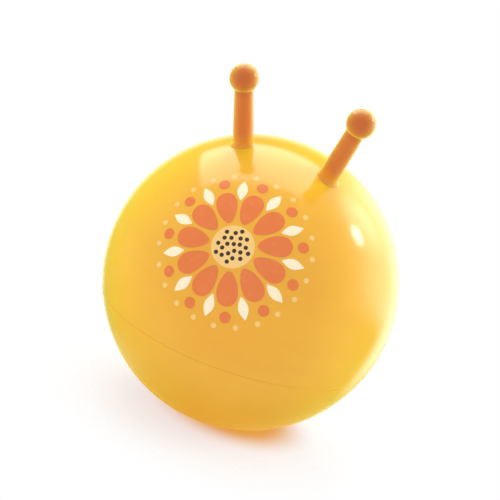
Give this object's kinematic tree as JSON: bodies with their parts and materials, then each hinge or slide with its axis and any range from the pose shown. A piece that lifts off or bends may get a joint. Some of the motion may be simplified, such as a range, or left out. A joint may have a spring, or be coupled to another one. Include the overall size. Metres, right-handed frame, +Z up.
{
  "type": "hopper ball",
  "caption": "Inflated bouncing ball to sit on, with knobbed horns to hold, a raised parting line and a ribbed push-in plug in a valve at the back.",
  "frame": {"origin": "middle of the flat patch where the ball rests on the floor", "axes": "+Z up from the floor through the middle of the ball, the front of the ball faces -Y, and the horns stand side by side along X"},
  "size_m": [0.4499, 0.4496, 0.5491],
  "materials": {
    "skin": "glossy amber PVC, slightly translucent",
    "horns": "glossy deep orange PVC, slightly translucent",
    "valve": "satin amber PVC",
    "plug": "matte beige plastic"
  },
  "bodies": {
    "ball": {"ball_skin": "skin", "left_horn": "horns", "right_horn": "horns", "valve_seat": "valve"},
    "plug": {"valve_plug": "plug"}
  },
  "joints": [
    {"name": "plug_slide", "type": "slide", "parent": "ball", "child": "plug", "axis": [0, 1, 0], "range_m": [0, 0.045]}
  ]
}
